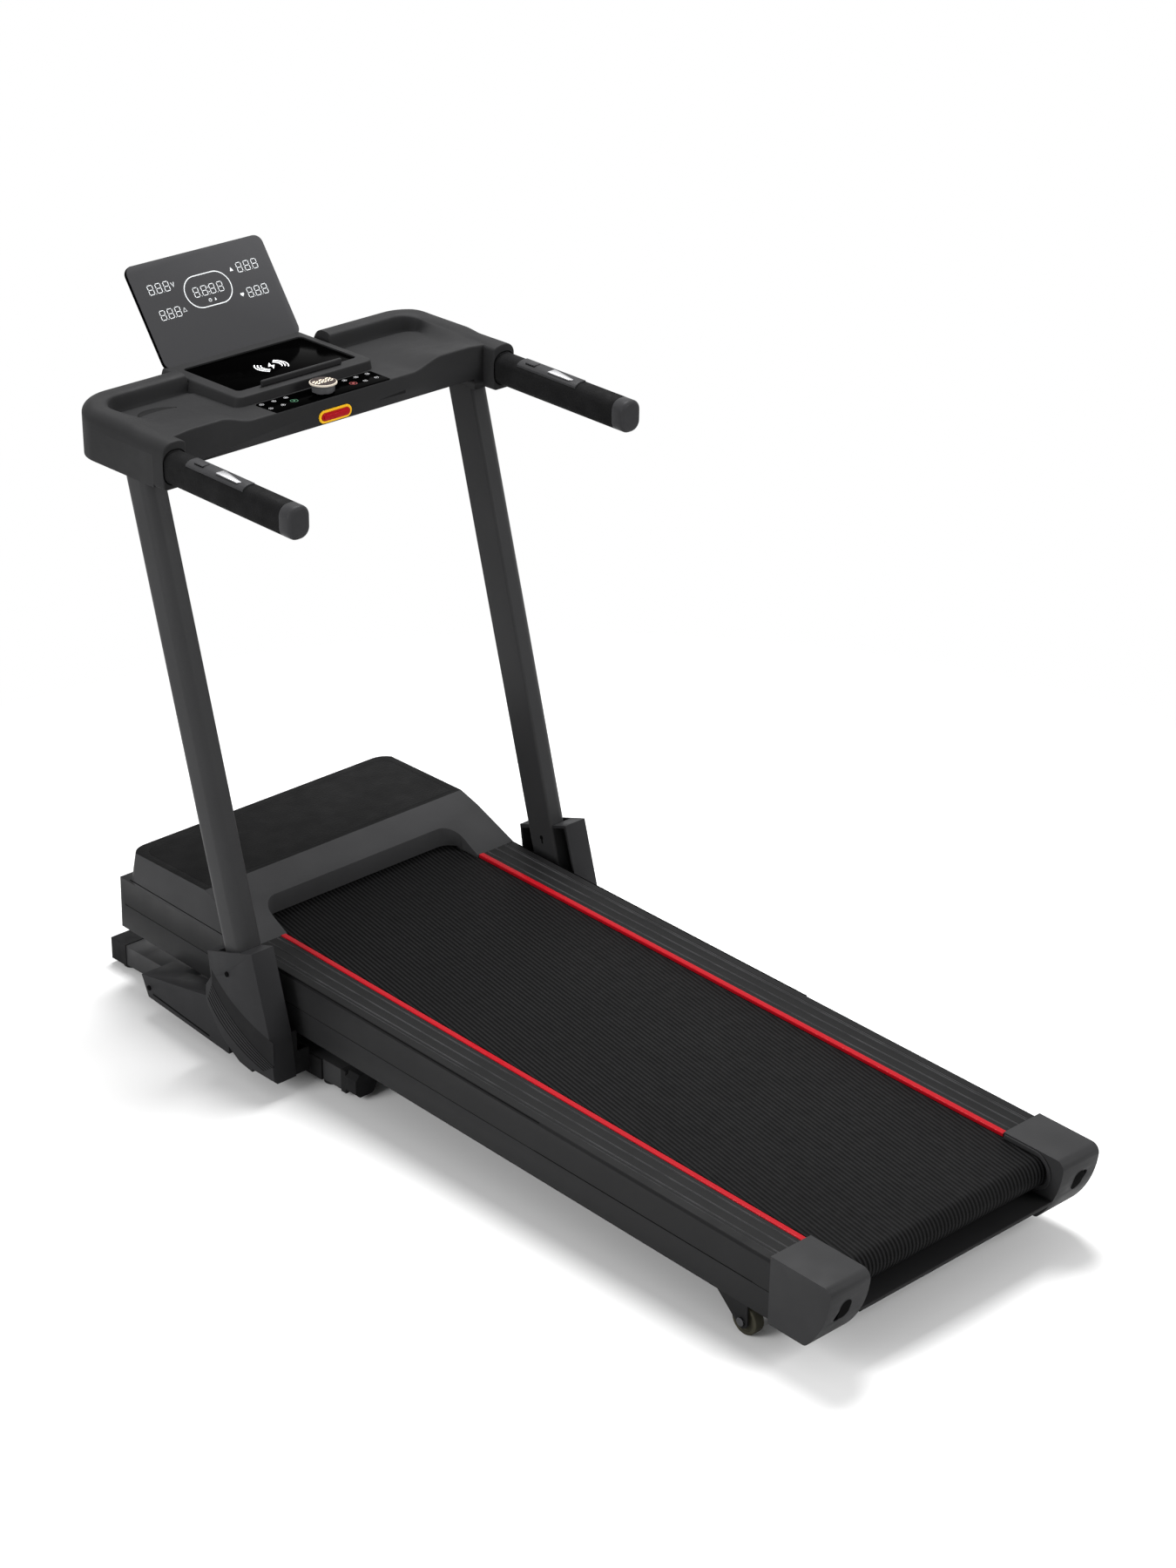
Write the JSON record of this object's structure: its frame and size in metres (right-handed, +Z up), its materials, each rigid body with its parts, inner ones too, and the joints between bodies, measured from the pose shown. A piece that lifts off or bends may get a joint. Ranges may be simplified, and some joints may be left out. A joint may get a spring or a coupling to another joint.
{
  "type": "treadmill",
  "caption": "Folding motorised treadmill with a ribbed walking belt between side rails, motor hood, leaning uprights, console with tilted display, and side handles.",
  "frame": {"origin": "on the floor, below the centre of the whole machine's outline", "axes": "+Y from the rear of the belt towards the console and hood, +X to the right of a person walking on it, +Z up"},
  "size_m": [0.74, 1.7927, 1.2254],
  "materials": {
    "base_tubes": "fine powder coat",
    "base_crossbars": "fine powder coat",
    "base_tube_ends": "moulded rubber",
    "base_feet": "moulded rubber",
    "upright_brackets": "powder coat",
    "base_cover_left": "textured plastic",
    "base_cover_right": "textured plastic",
    "upright_cover_left": "textured plastic",
    "upright_cover_right": "textured plastic",
    "upright_left": "satin powder coat",
    "upright_right": "satin powder coat",
    "cover_screws": "black zinc",
    "frame_bolts": "zinc plated",
    "console_shell": "fine texture",
    "console_top": "fine texture",
    "charging_pad": "gloss black",
    "phone_ledge": "fine texture",
    "display_housing": "gloss black",
    "display_glass": "satin dark grey panel",
    "control_strip": "gloss black",
    "console_board": "circuit board",
    "safety_socket": "yellow plastic",
    "handle_tubes": "painted steel",
    "handle_grips": "textured soft grip",
    "handle_caps": "smooth plastic",
    "thumb_pads": "satin plastic",
    "pulse_plates": "satin metal",
    "thumb_key_left": "satin plastic",
    "thumb_key_right": "satin plastic",
    "knob": "satin ring",
    "safety_key": "red plastic",
    "lift_frame": "powder coat",
    "fold_shaft": "turned steel",
    "gas_cylinder": "black enamel",
    "gas_rod": "polished rod",
    "side_frame_left": "satin powder coat",
    "side_frame_right": "satin powder coat",
    "deck_crossbars": "powder coat",
    "running_board": "pressed board",
    "board_cushions": "soft rubber",
    "side_rails": "ribbed plastic",
    "red_strips": "red plastic",
    "walking_belt": "finely ribbed belt",
    "roller_axles": "turned steel",
    "front_roller": "turned steel",
    "rear_roller": "turned steel",
    "motor": "black enamel",
    "motor_rotor": "laminated steel",
    "drive_belt": "ribbed belt",
    "motor_controller": "circuit board with metal fins",
    "power_inlet": "black plastic",
    "hood": "fine texture",
    "hood_top_panel": "coarse texture",
    "belly_pan": "black sheet steel",
    "end_caps": "fine texture",
    "wheel_brackets": "powder coat",
    "deck_bolts": "zinc plated",
    "rear_wheel_left": "hard plastic",
    "rear_wheel_right": "hard plastic",
    "lift_motor": "cast housing, painted"
  },
  "bodies": {
    "stand": {"base_tubes": "base_tubes", "base_crossbars": "base_crossbars", "base_tube_ends": "base_tube_ends", "base_feet": "base_feet", "upright_brackets": "upright_brackets", "base_cover_left": "base_cover_left", "base_cover_right": "base_cover_right", "upright_cover_left": "upright_cover_left", "upright_cover_right": "upright_cover_right", "upright_left": "upright_left", "upright_right": "upright_right", "cover_screws": "cover_screws", "frame_bolts": "frame_bolts", "console_shell": "console_shell", "console_top": "console_top", "charging_pad": "charging_pad", "phone_ledge": "phone_ledge", "display_housing": "display_housing", "display_glass": "display_glass", "control_strip": "control_strip", "console_board": "console_board", "safety_socket": "safety_socket", "handle_tubes": "handle_tubes", "handle_grips": "handle_grips", "handle_caps": "handle_caps", "thumb_pads": "thumb_pads", "pulse_plates": "pulse_plates", "lift_motor": "lift_motor"},
    "lift_arm": {"lift_frame": "lift_frame"},
    "deck_carrier": {"fold_shaft": "fold_shaft"},
    "deck": {"side_frame_left": "side_frame_left", "side_frame_right": "side_frame_right", "deck_crossbars": "deck_crossbars", "running_board": "running_board", "board_cushions": "board_cushions", "side_rails": "side_rails", "red_strips": "red_strips", "walking_belt": "walking_belt", "roller_axles": "roller_axles", "motor": "motor", "drive_belt": "drive_belt", "motor_controller": "motor_controller", "power_inlet": "power_inlet", "hood": "hood", "hood_top_panel": "hood_top_panel", "belly_pan": "belly_pan", "end_caps": "end_caps", "wheel_brackets": "wheel_brackets", "deck_bolts": "deck_bolts"},
    "strut_cylinder": {"gas_cylinder": "gas_cylinder"},
    "strut_rod": {"gas_rod": "gas_rod"},
    "front_roller_body": {"front_roller": "front_roller"},
    "rear_roller_body": {"rear_roller": "rear_roller"},
    "motor_rotor_body": {"motor_rotor": "motor_rotor"},
    "left_wheel": {"rear_wheel_left": "rear_wheel_left"},
    "right_wheel": {"rear_wheel_right": "rear_wheel_right"},
    "speed_knob": {"knob": "knob"},
    "stop_key": {"safety_key": "safety_key"},
    "left_thumb_key": {"thumb_key_left": "thumb_key_left"},
    "right_thumb_key": {"thumb_key_right": "thumb_key_right"}
  },
  "joints": [
    {"name": "lift", "type": "hinge", "parent": "stand", "child": "lift_arm", "pos_m": [0, 0.47976, 0.066], "axis": [1, 0, 0], "range_deg": [0, 19.5]},
    {"name": "deck_tilt", "type": "hinge", "parent": "lift_arm", "child": "deck_carrier", "pos_m": [0, 0.72976, 0.12544], "axis": [-1, 0, 0], "range_deg": [0, 16.34]},
    {"name": "deck_fold", "type": "hinge", "parent": "deck_carrier", "child": "deck", "pos_m": [0, 0.72976, 0.12544], "axis": [-1, 0, 0], "range_deg": [0, 65]},
    {"name": "strut_swing", "type": "hinge", "parent": "deck_carrier", "child": "strut_cylinder", "pos_m": [0, 0.68695, 0.04627], "axis": [-1, 0, 0], "range_deg": [0, 62.49]},
    {"name": "strut_slide", "type": "slide", "parent": "strut_cylinder", "child": "strut_rod", "axis": [0, -0.9869, 0.1615], "range_m": [0, 0.09478]},
    {"name": "front_roller_spin", "type": "hinge", "parent": "deck", "child": "front_roller_body", "pos_m": [0, 0.54346, 0.16925], "axis": [1, 0, 0], "continuous": true},
    {"name": "rear_roller_spin", "type": "hinge", "parent": "deck", "child": "rear_roller_body", "pos_m": [0, -0.841, 0.13058], "axis": [1, 0, 0], "continuous": true},
    {"name": "motor_spin", "type": "hinge", "parent": "deck", "child": "motor_rotor_body", "pos_m": [0, 0.67519, 0.18093], "axis": [1, 0, 0], "continuous": true},
    {"name": "left_wheel_spin", "type": "hinge", "parent": "deck", "child": "left_wheel", "pos_m": [-0.277, -0.717, 0.025], "axis": [1, 0, 0], "continuous": true},
    {"name": "right_wheel_spin", "type": "hinge", "parent": "deck", "child": "right_wheel", "pos_m": [0.277, -0.717, 0.025], "axis": [1, 0, 0], "continuous": true},
    {"name": "knob_turn", "type": "hinge", "parent": "stand", "child": "speed_knob", "pos_m": [0, 0.554, 1.065], "axis": [0, 0, 1], "continuous": true},
    {"name": "safety_key_pull", "type": "slide", "parent": "stand", "child": "stop_key", "axis": [0, -1, 0], "range_m": [0, 0.03]},
    {"name": "left_thumb_key_press", "type": "slide", "parent": "stand", "child": "left_thumb_key", "axis": [0, 0.0174, -0.9998], "range_m": [0, 0.0012], "stiffness_N_per_m": 800},
    {"name": "right_thumb_key_press", "type": "slide", "parent": "stand", "child": "right_thumb_key", "axis": [0, 0.0174, -0.9998], "range_m": [0, 0.0012], "stiffness_N_per_m": 800}
  ],
  "couplings": [
    {"joint": "deck_tilt", "follows": "lift", "ratio": 0.837},
    {"joint": "strut_swing", "follows": "deck_fold", "ratio": 0.96104},
    {"joint": "strut_slide", "follows": "deck_fold", "m_per_rad": 0.083369},
    {"joint": "rear_roller_spin", "follows": "front_roller_spin", "ratio": 1},
    {"joint": "motor_spin", "follows": "front_roller_spin", "ratio": 2}
  ]
}
